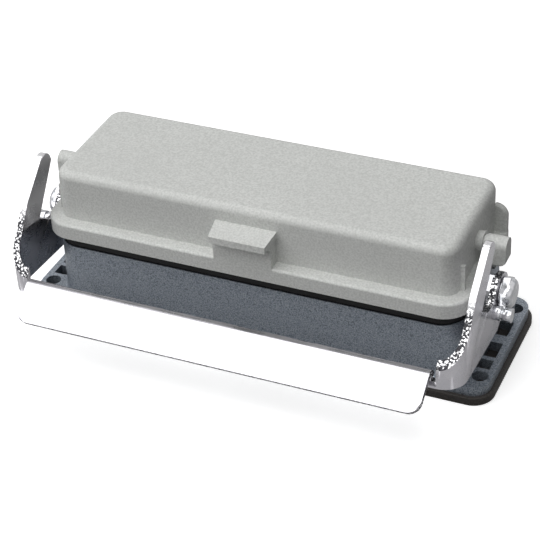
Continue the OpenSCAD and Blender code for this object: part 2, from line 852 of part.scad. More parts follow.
// Half section of the nut's dome: a round shoulder with a flat crown
module dome_section() {
    crown = nut_af / 2 - dome_h;
    intersection() {
        union() {
            square([crown, dome_h + join]);
            translate([crown, join]) circle(dome_h);
            square([nut_af / 2, join]);
        }
        square([nut_af / 2, dome_h + join]);
    }
}

// ---- Cover hinge ----

module hinge_pin(side) {
    color(bright_steel) at_end(side) translate([hinge_x, 0, 0])
        rod_x(-hinge_half, hinge_half, hinge_pin_d / 2, hinge_y, hinge_z);
}

// ---- Contact insert ----

// Repeats over both rows of contacts, at a distance from the insert's middle line
module contact_grid(dy) {
    for (sy = [-1, 1], i = [0:contacts_per_row - 1])
        translate([(i - contact_mid) * contact_pitch, sy * dy, 0]) children();
}

module insert_body() {
    color(insulator_grey) difference() {
        union() {
            translate([0, 0, block_z]) linear_extrude(pillar_z - block_z)
                round_rect(block_l, block_w, insert_r);
            translate([0, 0, tongue_z]) linear_extrude(pillar_z - tongue_z)
                square([tongue_l, tongue_w], center = true);
            translate([0, 0, pillar_z - join]) linear_extrude(face_z - pillar_z + join)
                round_rect(face_l, face_w, insert_r);
        }
        contact_grid(row_pitch / 2) translate([0, 0, sleeve_foot])
            cylinder(h = face_z, d = sleeve_d + 2 * seat_gap, $fn = small_fn);
        for (sy = [-1, 1])
            translate([-block_l / 2 + insert_r, sy * terminal_y - channel_w / 2, block_z - join])
                cube([block_l - 2 * insert_r, channel_w, channel_h + join]);
        mirror_x() translate([earth_x, 0, pillar_z - screw_bite])
            cylinder(h = screw_bite + join, d = screw_d + 2 * seat_gap);
    }
}

module contact_sockets() {
    top = face_z - sleeve_sink;
    color(contact_gold) contact_grid(row_pitch / 2) difference() {
        translate([0, 0, sleeve_foot]) cylinder(h = top - sleeve_foot, d = sleeve_d, $fn = small_fn);
        translate([0, 0, top - socket_depth])
            cylinder(h = socket_depth + join, d = socket_d, $fn = small_fn);
    }
}

module terminal_screws() {
    foot = block_z + channel_h - terminal_h;
    color(bright_steel) contact_grid(terminal_y) difference() {
        translate([0, 0, foot]) cylinder(h = terminal_h, d = terminal_d, $fn = small_fn);
        translate([-terminal_d, -slot_w / 2, foot - join])
            cube([2 * terminal_d, slot_w, slot_depth + join]);
    }
}

module earth_plate(side) {
    inner = face_l / 2 + seat_gap;
    color(bright_steel) at_end(side) difference() {
        translate([inner, -plate_w / 2, pillar_z]) cube([plate_end - inner, plate_w, plate_t]);
        for (sy = [-1, 1]) translate([insert_pitch_x / 2, sy * insert_pitch_y / 2, pillar_z - join])
            cylinder(h = plate_t + 2 * join, d = screw_d + 2 * seat_gap);
        translate([earth_x, 0, pillar_z - join])
            cylinder(h = plate_t + 2 * join, d = screw_d + 2 * seat_gap);
        for (sy = [-1, 1]) translate([plate_end, sy * plate_w / 2, pillar_z - join])
            rotate(45) cube([plate_cut, plate_cut, 4 * plate_t], center = true);
    }
}

// Slotted screw whose head rests on an earth plate
module plate_screw() {
    head_z = pillar_z + plate_t;
    difference() {
        union() {
            translate([0, 0, pillar_z - screw_bite]) cylinder(h = screw_bite + plate_t + join, d = screw_d);
            translate([0, 0, head_z]) cylinder(h = screw_head_h, d = screw_head_d);
        }
        translate([-screw_head_d, -slot_w / 2, head_z + screw_head_h - slot_depth])
            cube([2 * screw_head_d, slot_w, slot_depth + join]);
    }
}

module insert_screws() {
    color(bright_steel) four_corners(insert_pitch_x, insert_pitch_y) plate_screw();
}

module earth_screws() {
    color(bright_steel) mirror_x() translate([earth_x, 0, 0]) plate_screw();
}

housing();
flange_gasket();
rim_seal();
insert_body();
contact_sockets();
terminal_screws();
earth_plate(-1);  // earth_plate_left
earth_plate(1);  // earth_plate_right
insert_screws();
earth_screws();
pivot_stud(-1);  // pivot_stud_left
pivot_stud(1);  // pivot_stud_right
spring_washer(-1);  // spring_washer_left
spring_washer(1);  // spring_washer_right
cap_nut(-1);  // cap_nut_left
cap_nut(1);  // cap_nut_right
hinge_pin(-1);  // hinge_pin_left
hinge_pin(1);  // hinge_pin_right
cover();
locking_peg(-1);  // locking_peg_left
locking_peg(1);  // locking_peg_right
locking_lever();
stop_stud(-1);  // stop_stud_left
stop_stud(1);  // stop_stud_right
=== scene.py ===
import json
import math

import bmesh
import bpy
from mathutils import Matrix, Vector


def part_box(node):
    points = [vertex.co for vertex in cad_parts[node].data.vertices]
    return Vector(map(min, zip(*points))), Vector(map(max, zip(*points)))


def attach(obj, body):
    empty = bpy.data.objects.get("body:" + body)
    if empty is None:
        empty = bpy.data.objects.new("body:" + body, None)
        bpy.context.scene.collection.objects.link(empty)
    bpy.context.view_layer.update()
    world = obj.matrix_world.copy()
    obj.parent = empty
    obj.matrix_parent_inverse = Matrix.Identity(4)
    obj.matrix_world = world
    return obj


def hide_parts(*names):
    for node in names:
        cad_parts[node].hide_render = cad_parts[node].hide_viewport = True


mm = 0.001

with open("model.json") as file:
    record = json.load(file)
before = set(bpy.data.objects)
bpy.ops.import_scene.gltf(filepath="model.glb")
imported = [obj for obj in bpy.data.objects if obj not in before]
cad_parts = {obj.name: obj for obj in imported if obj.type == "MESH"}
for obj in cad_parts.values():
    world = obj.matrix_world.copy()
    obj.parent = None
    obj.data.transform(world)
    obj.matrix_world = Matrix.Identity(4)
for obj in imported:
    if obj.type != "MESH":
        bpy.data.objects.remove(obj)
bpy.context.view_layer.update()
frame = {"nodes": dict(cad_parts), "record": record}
nodes = frame["nodes"]
bodyOfNode = {n: b for b, members in frame["record"]["behaviour"]["bodies"].items() for n in members}
slotOfNode = {s["node"]: s["material_slot"] for s in frame["record"]["subparts"]}
print("frame loaded:", len(nodes), "nodes")


# small helpers for node trees


def addNode(tree, kind, inputs=None, **settings):
    node = tree.nodes.new(kind)
    for name, value in settings.items():
        setattr(node, name, value)
    for name, value in (inputs or {}).items():
        if isinstance(value, bpy.types.NodeSocket):
            tree.links.new(value, node.inputs[name])
        else:
            node.inputs[name].default_value = value
    return node


def calc(tree, operation, *values):
    node = tree.nodes.new("ShaderNodeMath")
    node.operation = operation
    for socket, value in zip(node.inputs, values):
        if isinstance(value, bpy.types.NodeSocket):
            tree.links.new(value, socket)
        else:
            socket.default_value = value
    return node.outputs[0]


def mapRange(tree, value, low, high, outLow=0.0, outHigh=1.0):
    inputs = {"Value": value, "From Min": low, "From Max": high, "To Min": outLow, "To Max": outHigh}
    return addNode(tree, "ShaderNodeMapRange", inputs).outputs["Result"]


def mixColours(tree, factor, low, high):
    node = addNode(tree, "ShaderNodeMix", data_type="RGBA")
    tree.links.new(factor, node.inputs["Factor"])
    colourInputs = [s for s in node.inputs if s.type == "RGBA"]
    for socket, value in zip(colourInputs, (low, high)):
        if isinstance(value, bpy.types.NodeSocket):
            tree.links.new(value, socket)
        else:
            socket.default_value = (*value, 1)
    return [s for s in node.outputs if s.type == "RGBA"][0]


def newGroup(name, inputs, outputs):
    tree = bpy.data.node_groups.new(name, "ShaderNodeTree")
    for label, value in inputs.items():
        socket = tree.interface.new_socket(label, in_out="INPUT", socket_type="NodeSocketFloat")
        socket.default_value = value
    for label in outputs:
        tree.interface.new_socket(label, in_out="OUTPUT", socket_type="NodeSocketFloat")
    return tree, tree.nodes.new("NodeGroupInput").outputs, tree.nodes.new("NodeGroupOutput").inputs


def useGroup(tree, group, values):
    node = addNode(tree, "ShaderNodeGroup", node_tree=group)
    for name, value in values.items():
        node.inputs[name].default_value = value
    return node.outputs


# effects that several finishes share


def buildGrain():
    # fine grain of a moulded or coated skin, with a slow drift of tone; sizes in mm
    sockets = {"Grain Size": 0.6, "Drift Size": 30.0}
    tree, given, put = newGroup("surfaceGrain", sockets, ["Grain", "Drift", "Height"])
    coords = addNode(tree, "ShaderNodeTexCoord").outputs["Object"]
    fineScale = calc(tree, "DIVIDE", 1 / mm, given["Grain Size"])
    slowScale = calc(tree, "DIVIDE", 1 / mm, given["Drift Size"])
    fine = addNode(tree, "ShaderNodeTexNoise", {"Vector": coords, "Scale": fineScale, "Detail": 2.0})
    slow = addNode(tree, "ShaderNodeTexNoise", {"Vector": coords, "Scale": slowScale, "Detail": 1.0})
    tree.links.new(mapRange(tree, fine.outputs["Fac"], 0.34, 0.66), put["Grain"])
    tree.links.new(mapRange(tree, slow.outputs["Fac"], 0.3, 0.7), put["Drift"])
    tree.links.new(fine.outputs["Fac"], put["Height"])
    return tree


def buildHammer():
    # flat blisters of a hammered coat, with dark specks between them; sizes in mm
    sockets = {"Blister Size": 1.2, "Speck Share": 0.2}
    tree, given, put = newGroup("hammeredCoat", sockets, ["Blister", "Speck"])
    coords = addNode(tree, "ShaderNodeTexCoord").outputs["Object"]
    scale = calc(tree, "DIVIDE", 1 / mm, given["Blister Size"])
    cells = addNode(tree, "ShaderNodeTexVoronoi", {"Vector": coords, "Scale": scale}, feature="SMOOTH_F1")
    speckScale = calc(tree, "MULTIPLY", scale, 2.3)
    specks = addNode(tree, "ShaderNodeTexNoise", {"Vector": coords, "Scale": speckScale, "Detail": 1.0})
    edge = calc(tree, "SUBTRACT", 0.75, given["Speck Share"])
    tree.links.new(mapRange(tree, cells.outputs["Distance"], 0.1, 0.7, 1.0, 0.0), put["Blister"])
    speck = addNode(tree, "ShaderNodeMapRange", {"Value": specks.outputs["Fac"], "From Max": 0.75})
    tree.links.new(edge, speck.inputs["From Min"])
    tree.links.new(speck.outputs["Result"], put["Speck"])
    return tree


def buildSpangle():
    # cloudy patches and fine rolling lines along X of plated sheet; sizes in mm
    tree, given, put = newGroup("platedSheet", {"Patch Size": 6.0, "Line Size": 0.25}, ["Patch", "Line"])
    coords = addNode(tree, "ShaderNodeTexCoord").outputs["Object"]
    patchScale = calc(tree, "DIVIDE", 1 / mm, given["Patch Size"])
    lineScale = calc(tree, "DIVIDE", 1 / mm, given["Line Size"])
    patches = addNode(tree, "ShaderNodeTexNoise", {"Vector": coords, "Scale": patchScale, "Detail": 3.0})
    stretched = addNode(tree, "ShaderNodeMapping", {"Vector": coords, "Scale": (0.03, 1.0, 1.0)})
    lineInputs = {"Vector": stretched.outputs[0], "Scale": lineScale, "Detail": 2.0}
    lines = addNode(tree, "ShaderNodeTexNoise", lineInputs)
    tree.links.new(mapRange(tree, patches.outputs["Fac"], 0.35, 0.65), put["Patch"])
    tree.links.new(mapRange(tree, lines.outputs["Fac"], 0.3, 0.7), put["Line"])
    return tree


grainGroup = buildGrain()
hammerGroup = buildHammer()
spangleGroup = buildSpangle()
print("shared effects built")


# finishes, one function for each kind of surface


def newMaterial(name, **shaderValues):
    material = bpy.data.materials.new(name)
    material.use_nodes = True
    tree = material.node_tree
    shader = tree.nodes["Principled BSDF"]
    for label, value in shaderValues.items():
        shader.inputs[label.replace("_", " ")].default_value = value
    return material, tree, shader


def bumpInto(tree, shader, height, strength, distance):
    bump = addNode(tree, "ShaderNodeBump", {"Height": height, "Strength": strength, "Distance": distance})
    tree.links.new(bump.outputs["Normal"], shader.inputs["Normal"])


castingLook = {
    "light": (0.38, 0.42, 0.47),
    "dark": (0.14, 0.16, 0.19),
    "speck": (0.018, 0.021, 0.027),
    "metallic": 0.6,
    "blister": 0.32,  # mm, as every grain, drift, patch and line size below
    "speckShare": 0.2,
    "speckDepth": 0.8,
    "grain": 0.7,
    "drift": 26.0,
    "roughness": (0.34, 0.52),
}


def castingPaint():
    metallic = castingLook["metallic"]
    material, tree, shader = newMaterial("castingPaint", Metallic=metallic, Specular_IOR_Level=0.5)
    blisters = {"Blister Size": castingLook["blister"], "Speck Share": castingLook["speckShare"]}
    hammer = useGroup(tree, hammerGroup, blisters)
    grains = {"Grain Size": castingLook["grain"], "Drift Size": castingLook["drift"]}
    grain = useGroup(tree, grainGroup, grains)
    skin = mixColours(tree, hammer["Blister"], castingLook["dark"], castingLook["light"])
    speck = calc(tree, "MULTIPLY", hammer["Speck"], castingLook["speckDepth"])
    specked = mixColours(tree, speck, skin, castingLook["speck"])
    tree.links.new(specked, shader.inputs["Base Color"])
    rough = mapRange(tree, grain["Grain"], 0, 1, *castingLook["roughness"])
    tree.links.new(rough, shader.inputs["Roughness"])
    height = calc(tree, "ADD", hammer["Blister"], calc(tree, "MULTIPLY", grain["Grain"], 0.5))
    bumpInto(tree, shader, height, 0.35, 0.12 * mm)
    return material


coverLook = {
    "light": (0.70, 0.71, 0.69),
    "dark": (0.54, 0.55, 0.53),
    "shade": (0.55, 0.56, 0.545),
    "shadeShare": 0.25,
    "grain": 0.55,
    "drift": 40.0,
    "roughness": (0.46, 0.56),
}


def coverShell():
    material, tree, shader = newMaterial("coverShell", Metallic=0.0, Specular_IOR_Level=0.4)
    grain = useGroup(tree, grainGroup, {"Grain Size": coverLook["grain"], "Drift Size": coverLook["drift"]})
    skin = mixColours(tree, grain["Grain"], coverLook["dark"], coverLook["light"])
    shade = calc(tree, "MULTIPLY", grain["Drift"], coverLook["shadeShare"])
    drifted = mixColours(tree, shade, skin, coverLook["shade"])
    tree.links.new(drifted, shader.inputs["Base Color"])
    tree.links.new(mapRange(tree, grain["Drift"], 0, 1, *coverLook["roughness"]), shader.inputs["Roughness"])
    bumpInto(tree, shader, grain["Height"], 0.2, 0.05 * mm)
    return material


gasketLook = {"light": (0.060, 0.054, 0.050), "dark": (0.036, 0.032, 0.030), "roughness": 0.55, "grain": 0.5}
sealLook = {"light": (0.010, 0.010, 0.011), "dark": (0.006, 0.006, 0.006), "roughness": 0.6, "grain": 0.4}
insertLook = {"light": (0.56, 0.55, 0.50), "dark": (0.50, 0.49, 0.45), "roughness": 0.5, "grain": 0.5}


def mattMoulding(name, look):
    # rubber or plastic with a fine moulded grain
    material, tree, shader = newMaterial(name, Metallic=0.0, Specular_IOR_Level=0.25)
    grain = useGroup(tree, grainGroup, {"Grain Size": look["grain"], "Drift Size": 12.0})
    tree.links.new(mixColours(tree, grain["Grain"], look["dark"], look["light"]), shader.inputs["Base Color"])
    smooth, rough = look["roughness"] - 0.06, look["roughness"] + 0.06
    tree.links.new(mapRange(tree, grain["Drift"], 0, 1, smooth, rough), shader.inputs["Roughness"])
    bumpInto(tree, shader, grain["Height"], 0.3, 0.06 * mm)
    return material


leverLook = {
    "bright": (0.475, 0.465, 0.49),
    "dull": (0.425, 0.42, 0.445),
    "patch": 7.0,
    "line": 0.3,
    "roughness": (0.20, 0.30),
    "lineRoughness": 0.06,
}


def leverSteel():
    material, tree, shader = newMaterial("leverSteel", Metallic=1.0, Specular_IOR_Level=0.5)
    plated = useGroup(tree, spangleGroup, {"Patch Size": leverLook["patch"], "Line Size": leverLook["line"]})
    tone = mixColours(tree, plated["Patch"], leverLook["dull"], leverLook["bright"])
    tree.links.new(tone, shader.inputs["Base Color"])
    byPatch = mapRange(tree, plated["Patch"], 0, 1, *leverLook["roughness"])
    byLine = calc(tree, "MULTIPLY", plated["Line"], leverLook["lineRoughness"])
    tree.links.new(calc(tree, "ADD", byPatch, byLine), shader.inputs["Roughness"])
    bumpInto(tree, shader, plated["Line"], 0.06, 0.03 * mm)
    return material


edgeLook = {
    "bright": (0.60, 0.60, 0.61),
    "torn": (0.045, 0.045, 0.05),
    "tornSize": 0.6,
    "tornShare": (0.12, 1),  # at the top of the arms and below them
    "roughness": (0.22, 0.6),  # burnished and torn
    "cleanAbove": 38 * mm,
    "tornBelow": 33 * mm,
}


def cutEdge():
    # sheared edge of the lever's sheet: a bright burnished band broken by torn, dark spots
    material, tree, shader = newMaterial("cutEdge", Metallic=1.0)
    torn = useGroup(tree, grainGroup, {"Grain Size": edgeLook["tornSize"], "Drift Size": 7.0})
    place = addNode(tree, "ShaderNodeTexCoord").outputs["Object"]
    height = addNode(tree, "ShaderNodeSeparateXYZ", {"Vector": place}).outputs["Z"]
    # the share of dark spots grows from the top of the arms downwards, so the edge is darker towards the
    # bottom
    tornShare = mapRange(tree, height, edgeLook["cleanAbove"], edgeLook["tornBelow"], *edgeLook["tornShare"])
    spots = calc(tree, "MULTIPLY", mapRange(tree, torn["Grain"], 0.28, 0.5), tornShare)
    tree.links.new(mixColours(tree, spots, edgeLook["bright"], edgeLook["torn"]), shader.inputs["Base Color"])
    tree.links.new(mapRange(tree, spots, 0, 1, *edgeLook["roughness"]), shader.inputs["Roughness"])
    bumpInto(tree, shader, torn["Height"], 0.4, 0.08 * mm)
    return material


turnedLook = {
    "bright": (0.58, 0.58, 0.60),
    "dull": (0.34, 0.35, 0.37),
    "patch": 2.0,
    "line": 0.15,
    "roughness": (0.10, 0.2),
}


def turnedSteel():
    material, tree, shader = newMaterial("turnedSteel", Metallic=1.0, Specular_IOR_Level=0.5)
    sizes = {"Patch Size": turnedLook["patch"], "Line Size": turnedLook["line"]}
    plated = useGroup(tree, spangleGroup, sizes)
    tone = mixColours(tree, plated["Patch"], turnedLook["dull"], turnedLook["bright"])
    tree.links.new(tone, shader.inputs["Base Color"])
    rough = mapRange(tree, plated["Line"], 0, 1, *turnedLook["roughness"])
    tree.links.new(rough, shader.inputs["Roughness"])
    return material


contactTone = {
    "light": (0.83, 0.68, 0.38),
    "dark": (0.70, 0.52, 0.24),
    "grain": 0.3,
    "drift": 3.0,
    "roughness": (0.22, 0.34),
}


def contactMetal():
    material, tree, shader = newMaterial("contactMetal", Metallic=1.0)
    grains = {"Grain Size": contactTone["grain"], "Drift Size": contactTone["drift"]}
    grain = useGroup(tree, grainGroup, grains)
    tone = mixColours(tree, grain["Drift"], contactTone["dark"], contactTone["light"])
    tree.links.new(tone, shader.inputs["Base Color"])
    rough = mapRange(tree, grain["Grain"], 0, 1, *contactTone["roughness"])
    tree.links.new(rough, shader.inputs["Roughness"])
    return material


finishes = {
    "casting": castingPaint(),
    "cover_shell": coverShell(),
    "gasket_rubber": mattMoulding("gasketRubber", gasketLook),
    "seal_rubber": mattMoulding("sealRubber", sealLook),
    "lever_steel": leverSteel(),
    "screw_steel": turnedSteel(),
    "insulator": mattMoulding("insulatorMoulding", insertLook),
    "contact_metal": contactMetal(),
}
print("finishes built:", len(finishes))


# visible pieces: each CAD solid again, with its edges broken as the real one's are

edgeBreak = {  # node: (radius in mm, smallest angle between faces in degrees)
    "housing": (0.35, 28),
    "cover": (0.35, 28),
    "locking_lever": (0.25, 40),
    "flange_gasket": (0.3, 40),
    "rim_seal": (0.5, 40),
    "insert_body": (0.2, 40),
    "locking_peg_left": (0.3, 28),
    "locking_peg_right": (0.3, 28),
    "cap_nut_left": (0.2, 25),
    "cap_nut_right": (0.2, 25),
    "pivot_stud_left": (0.15, 40),
    "pivot_stud_right": (0.15, 40),
    "stop_stud_left": (0.15, 40),
    "stop_stud_right": (0.15, 40),
}


def camel(name):
    first, *rest = name.split("_")
    return first + "".join(word.capitalize() for word in rest)


def softened(name, radius, angle):
    source = nodes[name]
    mesh = source.data.copy()
    mesh.transform(source.matrix_world)
    work = bmesh.new()
    work.from_mesh(mesh)
    bmesh.ops.remove_doubles(work, verts=work.verts, dist=0.002 * mm)
    work.to_mesh(mesh)
    work.free()
    piece = bpy.data.objects.new(camel(name), mesh)
    bpy.context.scene.collection.objects.link(piece)
    bevel = piece.modifiers.new("edgeBreak", "BEVEL")
    bevel.width = radius * mm
    bevel.segments = 2
    bevel.limit_method = "ANGLE"
    bevel.angle_limit = math.radians(angle)
    bevel.use_clamp_overlap = True
    bevel.miter_outer = "MITER_ARC"
    mesh.shade_smooth()
    evenNormals = piece.modifiers.new("evenNormals", "WEIGHTED_NORMAL")
    evenNormals.keep_sharp = True
    finished(piece, name)


def finished(piece, name):
    # the modifiers' result becomes the piece's own mesh, in place of the CAD node
    shaped = bpy.data.meshes.new_from_object(piece.evaluated_get(bpy.context.evaluated_depsgraph_get()))
    piece.modifiers.clear()
    piece.data = shaped
    shaped.name = piece.name
    shaped.materials.clear()
    shaped.materials.append(finishes[slotOfNode[name]])
    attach(piece, bodyOfNode[name])
    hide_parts(name)


# pieces that repeat or follow a path, by Geometry Nodes


def newTree(name, inputs):
    # inputs: {label: (socket type, default)}
    tree = bpy.data.node_groups.new(name, "GeometryNodeTree")
    for label, (kind, value) in inputs.items():
        socket = tree.interface.new_socket(label, in_out="INPUT", socket_type=kind)
        if value is not None:
            socket.default_value = value
    tree.interface.new_socket("Geometry", in_out="OUTPUT", socket_type="NodeSocketGeometry")
    return tree, tree.nodes.new("NodeGroupInput").outputs, tree.nodes.new("NodeGroupOutput").inputs


def closeTree(tree, put, geometry, material, smoothAngle=0.5):
    real = addNode(tree, "GeometryNodeRealizeInstances", {"Geometry": geometry})
    angle = addNode(tree, "GeometryNodeInputMeshEdgeAngle")
    compared = {"A": angle.outputs["Unsigned Angle"], "B": smoothAngle}
    gentle = addNode(tree, "FunctionNodeCompare", compared, operation="LESS_THAN")
    smooth = addNode(tree, "GeometryNodeSetShadeSmooth", {"Geometry": real.outputs[0]}, domain="FACE")
    kept = {"Geometry": smooth.outputs[0], "Shade Smooth": gentle.outputs["Result"]}
    edges = addNode(tree, "GeometryNodeSetShadeSmooth", kept, domain="EDGE")
    painted = addNode(tree, "GeometryNodeSetMaterial", {"Geometry": edges.outputs[0], "Material": material})
    tree.links.new(painted.outputs[0], put["Geometry"])


def grown(name, tree, values, node):
    # one piece from a tree, its inputs set by identifier before it is first evaluated
    piece = bpy.data.objects.new(name, bpy.data.meshes.new(name))
    bpy.context.scene.collection.objects.link(piece)
    maker = piece.modifiers.new(tree.name, "NODES")
    maker.node_group = tree
    identifiers = {item.name: item.identifier for item in tree.interface.items_tree if item.in_out == "INPUT"}
    for label, value in values.items():
        maker[identifiers[label]] = value
    maker[identifiers["Finish"]] = finishes[slotOfNode[node]]
    finished(piece, node)
    print("grown:", name, len(piece.data.polygons), "faces")


def gridPoints(tree, given):
    # two rows of points across the insert
    length = calc(tree, "MULTIPLY", given["Pitch"], calc(tree, "SUBTRACT", given["Count"], 1.0))
    size = {"Size X": length, "Size Y": given["Row Distance"]}
    grid = addNode(tree, "GeometryNodeMeshGrid", size | {"Vertices X": given["Count"], "Vertices Y": 2})
    return grid.outputs["Mesh"]


def closeRows(tree, given, put, rows):
    # the rows, centred on their own height, go up on their foot
    lift = calc(tree, "ADD", given["Foot"], calc(tree, "MULTIPLY", given["Height"], 0.5))
    offset = addNode(tree, "ShaderNodeCombineXYZ", {"Z": lift}).outputs[0]
    placed = addNode(tree, "GeometryNodeTransform", {"Geometry": rows.outputs[0], "Translation": offset})
    closeTree(tree, put, placed.outputs[0], given["Finish"])
    return tree


rowSockets = {
    "Count": ("NodeSocketInt", 12),
    "Pitch": ("NodeSocketFloat", 7.0 * mm),
    "Row Distance": ("NodeSocketFloat", 12.0 * mm),
    "Diameter": ("NodeSocketFloat", 4.0 * mm),
    "Height": ("NodeSocketFloat", 20.0 * mm),
    "Foot": ("NodeSocketFloat", 6.0 * mm),
    "Finish": ("NodeSocketMaterial", None),
}


def buildSleeveRows():
    sockets = {"Bore": ("NodeSocketFloat", 2.5 * mm), "Chamfer": ("NodeSocketFloat", 0.2 * mm)}
    tree, given, put = newTree("sleeveRows", rowSockets | sockets)
    wall = calc(tree, "MULTIPLY", calc(tree, "SUBTRACT", given["Diameter"], given["Bore"]), 0.5)
    middle = calc(tree, "MULTIPLY", calc(tree, "ADD", given["Diameter"], given["Bore"]), 0.25)
    ring = addNode(tree, "GeometryNodeCurvePrimitiveCircle", {"Radius": middle, "Resolution": 28})
    band = {"Width": wall, "Height": given["Height"]}
    section = addNode(tree, "GeometryNodeCurvePrimitiveQuadrilateral", band)
    easing = {"Curve": section.outputs[0], "Radius": given["Chamfer"], "Count": 2}
    eased = addNode(tree, "GeometryNodeFilletCurve", easing, mode="POLY").outputs[0]
    sleeve = addNode(tree, "GeometryNodeCurveToMesh", {"Curve": ring.outputs[0], "Profile Curve": eased})
    spread = {"Points": gridPoints(tree, given), "Instance": sleeve.outputs[0]}
    rows = addNode(tree, "GeometryNodeInstanceOnPoints", spread)
    return closeRows(tree, given, put, rows)


def buildScrewRows():
    sockets = {
        "Slot Width": ("NodeSocketFloat", 0.8 * mm),
        "Slot Depth": ("NodeSocketFloat", 0.7 * mm),
        "Seed": ("NodeSocketInt", 4),
    }
    tree, given, put = newTree("screwRows", rowSockets | sockets)
    radius = calc(tree, "MULTIPLY", given["Diameter"], 0.5)
    rod = {"Vertices": 32, "Radius": radius, "Depth": given["Height"]}
    shank = addNode(tree, "GeometryNodeMeshCylinder", rod, fill_type="NGON").outputs["Mesh"]
    across = calc(tree, "MULTIPLY", given["Diameter"], 2.0)
    slot = {"X": across, "Y": given["Slot Width"], "Z": given["Slot Depth"]}
    slotSize = addNode(tree, "ShaderNodeCombineXYZ", slot).outputs[0]
    cutter = addNode(tree, "GeometryNodeMeshCube", {"Size": slotSize})
    foot = calc(tree, "MULTIPLY", given["Height"], -0.5)
    drop = addNode(tree, "ShaderNodeCombineXYZ", {"Z": foot}).outputs[0]
    lowered = addNode(tree, "GeometryNodeTransform", {"Geometry": cutter.outputs[0], "Translation": drop})
    slotted = addNode(tree, "GeometryNodeMeshBoolean", {"Mesh 1": shank}, operation="DIFFERENCE")
    tree.links.new(lowered.outputs[0], slotted.inputs["Mesh 2"])
    turn = addNode(tree, "FunctionNodeRandomValue", {"Seed": given["Seed"]}, data_type="FLOAT_VECTOR")
    turn.inputs["Min"].default_value = (0, 0, -1.5)
    turn.inputs["Max"].default_value = (0, 0, 1.5)
    spread = {"Points": gridPoints(tree, given), "Instance": slotted.outputs[0]}
    rows = addNode(tree, "GeometryNodeInstanceOnPoints", spread | {"Rotation": turn.outputs["Value"]})
    return closeRows(tree, given, put, rows)


def buildSplitWasher():
    # a helical ring of square wire, lying round the X axis
    tree, given, put = newTree(
        "splitWasher",
        {
            "Outer Diameter": ("NodeSocketFloat", 8.4 * mm),
            "Inner Diameter": ("NodeSocketFloat", 5.2 * mm),
            "Thickness": ("NodeSocketFloat", 0.4 * mm),
            "Rise": ("NodeSocketFloat", 0.1 * mm),
            "Turns": ("NodeSocketFloat", 0.96),
            "Place": ("NodeSocketVector", None),
            "Finish": ("NodeSocketMaterial", None),
        },
    )
    outer, inner = given["Outer Diameter"], given["Inner Diameter"]
    middle = calc(tree, "MULTIPLY", calc(tree, "ADD", outer, inner), 0.25)
    wall = calc(tree, "MULTIPLY", calc(tree, "SUBTRACT", outer, inner), 0.5)
    winding = {"Resolution": 56, "Rotations": given["Turns"], "Height": given["Rise"]}
    radii = {"Start Radius": middle, "End Radius": middle}
    helix = addNode(tree, "GeometryNodeCurveSpiral", winding | radii)
    band = {"Width": wall, "Height": given["Thickness"]}
    wire = addNode(tree, "GeometryNodeCurvePrimitiveQuadrilateral", band)
    easing = {"Curve": wire.outputs[0], "Radius": 0.08 * mm, "Count": 2}
    eased = addNode(tree, "GeometryNodeFilletCurve", easing, mode="POLY")
    upright = addNode(tree, "GeometryNodeSetCurveNormal", {"Curve": helix.outputs[0]}, mode="Z_UP")
    swept = {"Curve": upright.outputs[0], "Profile Curve": eased.outputs[0], "Fill Caps": True}
    coil = addNode(tree, "GeometryNodeCurveToMesh", swept)
    lying = {"Geometry": coil.outputs[0], "Translation": given["Place"], "Rotation": (0, math.pi / 2, 0)}
    laid = addNode(tree, "GeometryNodeTransform", lying)
    closeTree(tree, put, laid.outputs[0], given["Finish"])
    return tree


def rowValues(node, count, diameter):
    # pitch, row distance and height of a node's rows, from its box
    low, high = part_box(node)
    span = high - low
    return {
        "Count": count,
        "Pitch": (span.x - diameter) / (count - 1),
        "Row Distance": span.y - diameter,
        "Diameter": diameter,
        "Height": span.z,
        "Foot": low.z,
    }


contactLook = {"count": 12, "sleeve": 4.0 * mm, "bore": 2.5 * mm, "chamfer": 0.2 * mm}
terminalLook = {"count": 12, "diameter": 4.2 * mm, "slotWidth": 0.8 * mm, "slotDepth": 1.4 * mm, "seed": 4}
washerLook = {"inner": 5.2 * mm, "thickness": 0.36 * mm, "rise": 0.1 * mm, "turns": 0.965}

grown(
    "contactSleeves",
    buildSleeveRows(),
    rowValues("contact_sockets", contactLook["count"], contactLook["sleeve"])
    | {"Bore": contactLook["bore"], "Chamfer": contactLook["chamfer"]},
    "contact_sockets",
)
grown(
    "terminalScrews",
    buildScrewRows(),
    rowValues("terminal_screws", terminalLook["count"], terminalLook["diameter"])
    | {
        "Slot Width": terminalLook["slotWidth"],
        "Slot Depth": terminalLook["slotDepth"],
        "Seed": terminalLook["seed"],
    },
    "terminal_screws",
)
washerTree = buildSplitWasher()
for side in ("left", "right"):
    low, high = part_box("spring_washer_" + side)
    middle = (low + high) / 2
    grown(
        "splitWasher" + side.capitalize(),
        washerTree,
        {
            "Outer Diameter": high.z - low.z,
            "Inner Diameter": washerLook["inner"],
            "Thickness": washerLook["thickness"],
            "Rise": washerLook["rise"],
            "Turns": washerLook["turns"],
            "Place": (middle.x - washerLook["rise"] / 2, middle.y, middle.z),
        },
        "spring_washer_" + side,
    )

grownNodes = {"contact_sockets", "terminal_screws", "spring_washer_left", "spring_washer_right"}
for name, node in nodes.items():
    if name in edgeBreak:
        softened(name, *edgeBreak[name])
    elif name not in grownNodes:
        node.data.materials.clear()
        node.data.materials.append(finishes[slotOfNode[name]])


leverCut = {
    "sheet": 1.8 * mm,
    "bend": 6.5 * mm,
    "slope": 37,
    "webDepth": 10.8 * mm,
    "handleHalf": 58.7 * mm,
    "frontDepth": 1.4 * mm,  # how far back the handle's front edge is looked for
    "armFacing": 0.7,
    "bendFacing": 0.4,
    "underFacing": 0.95,
}


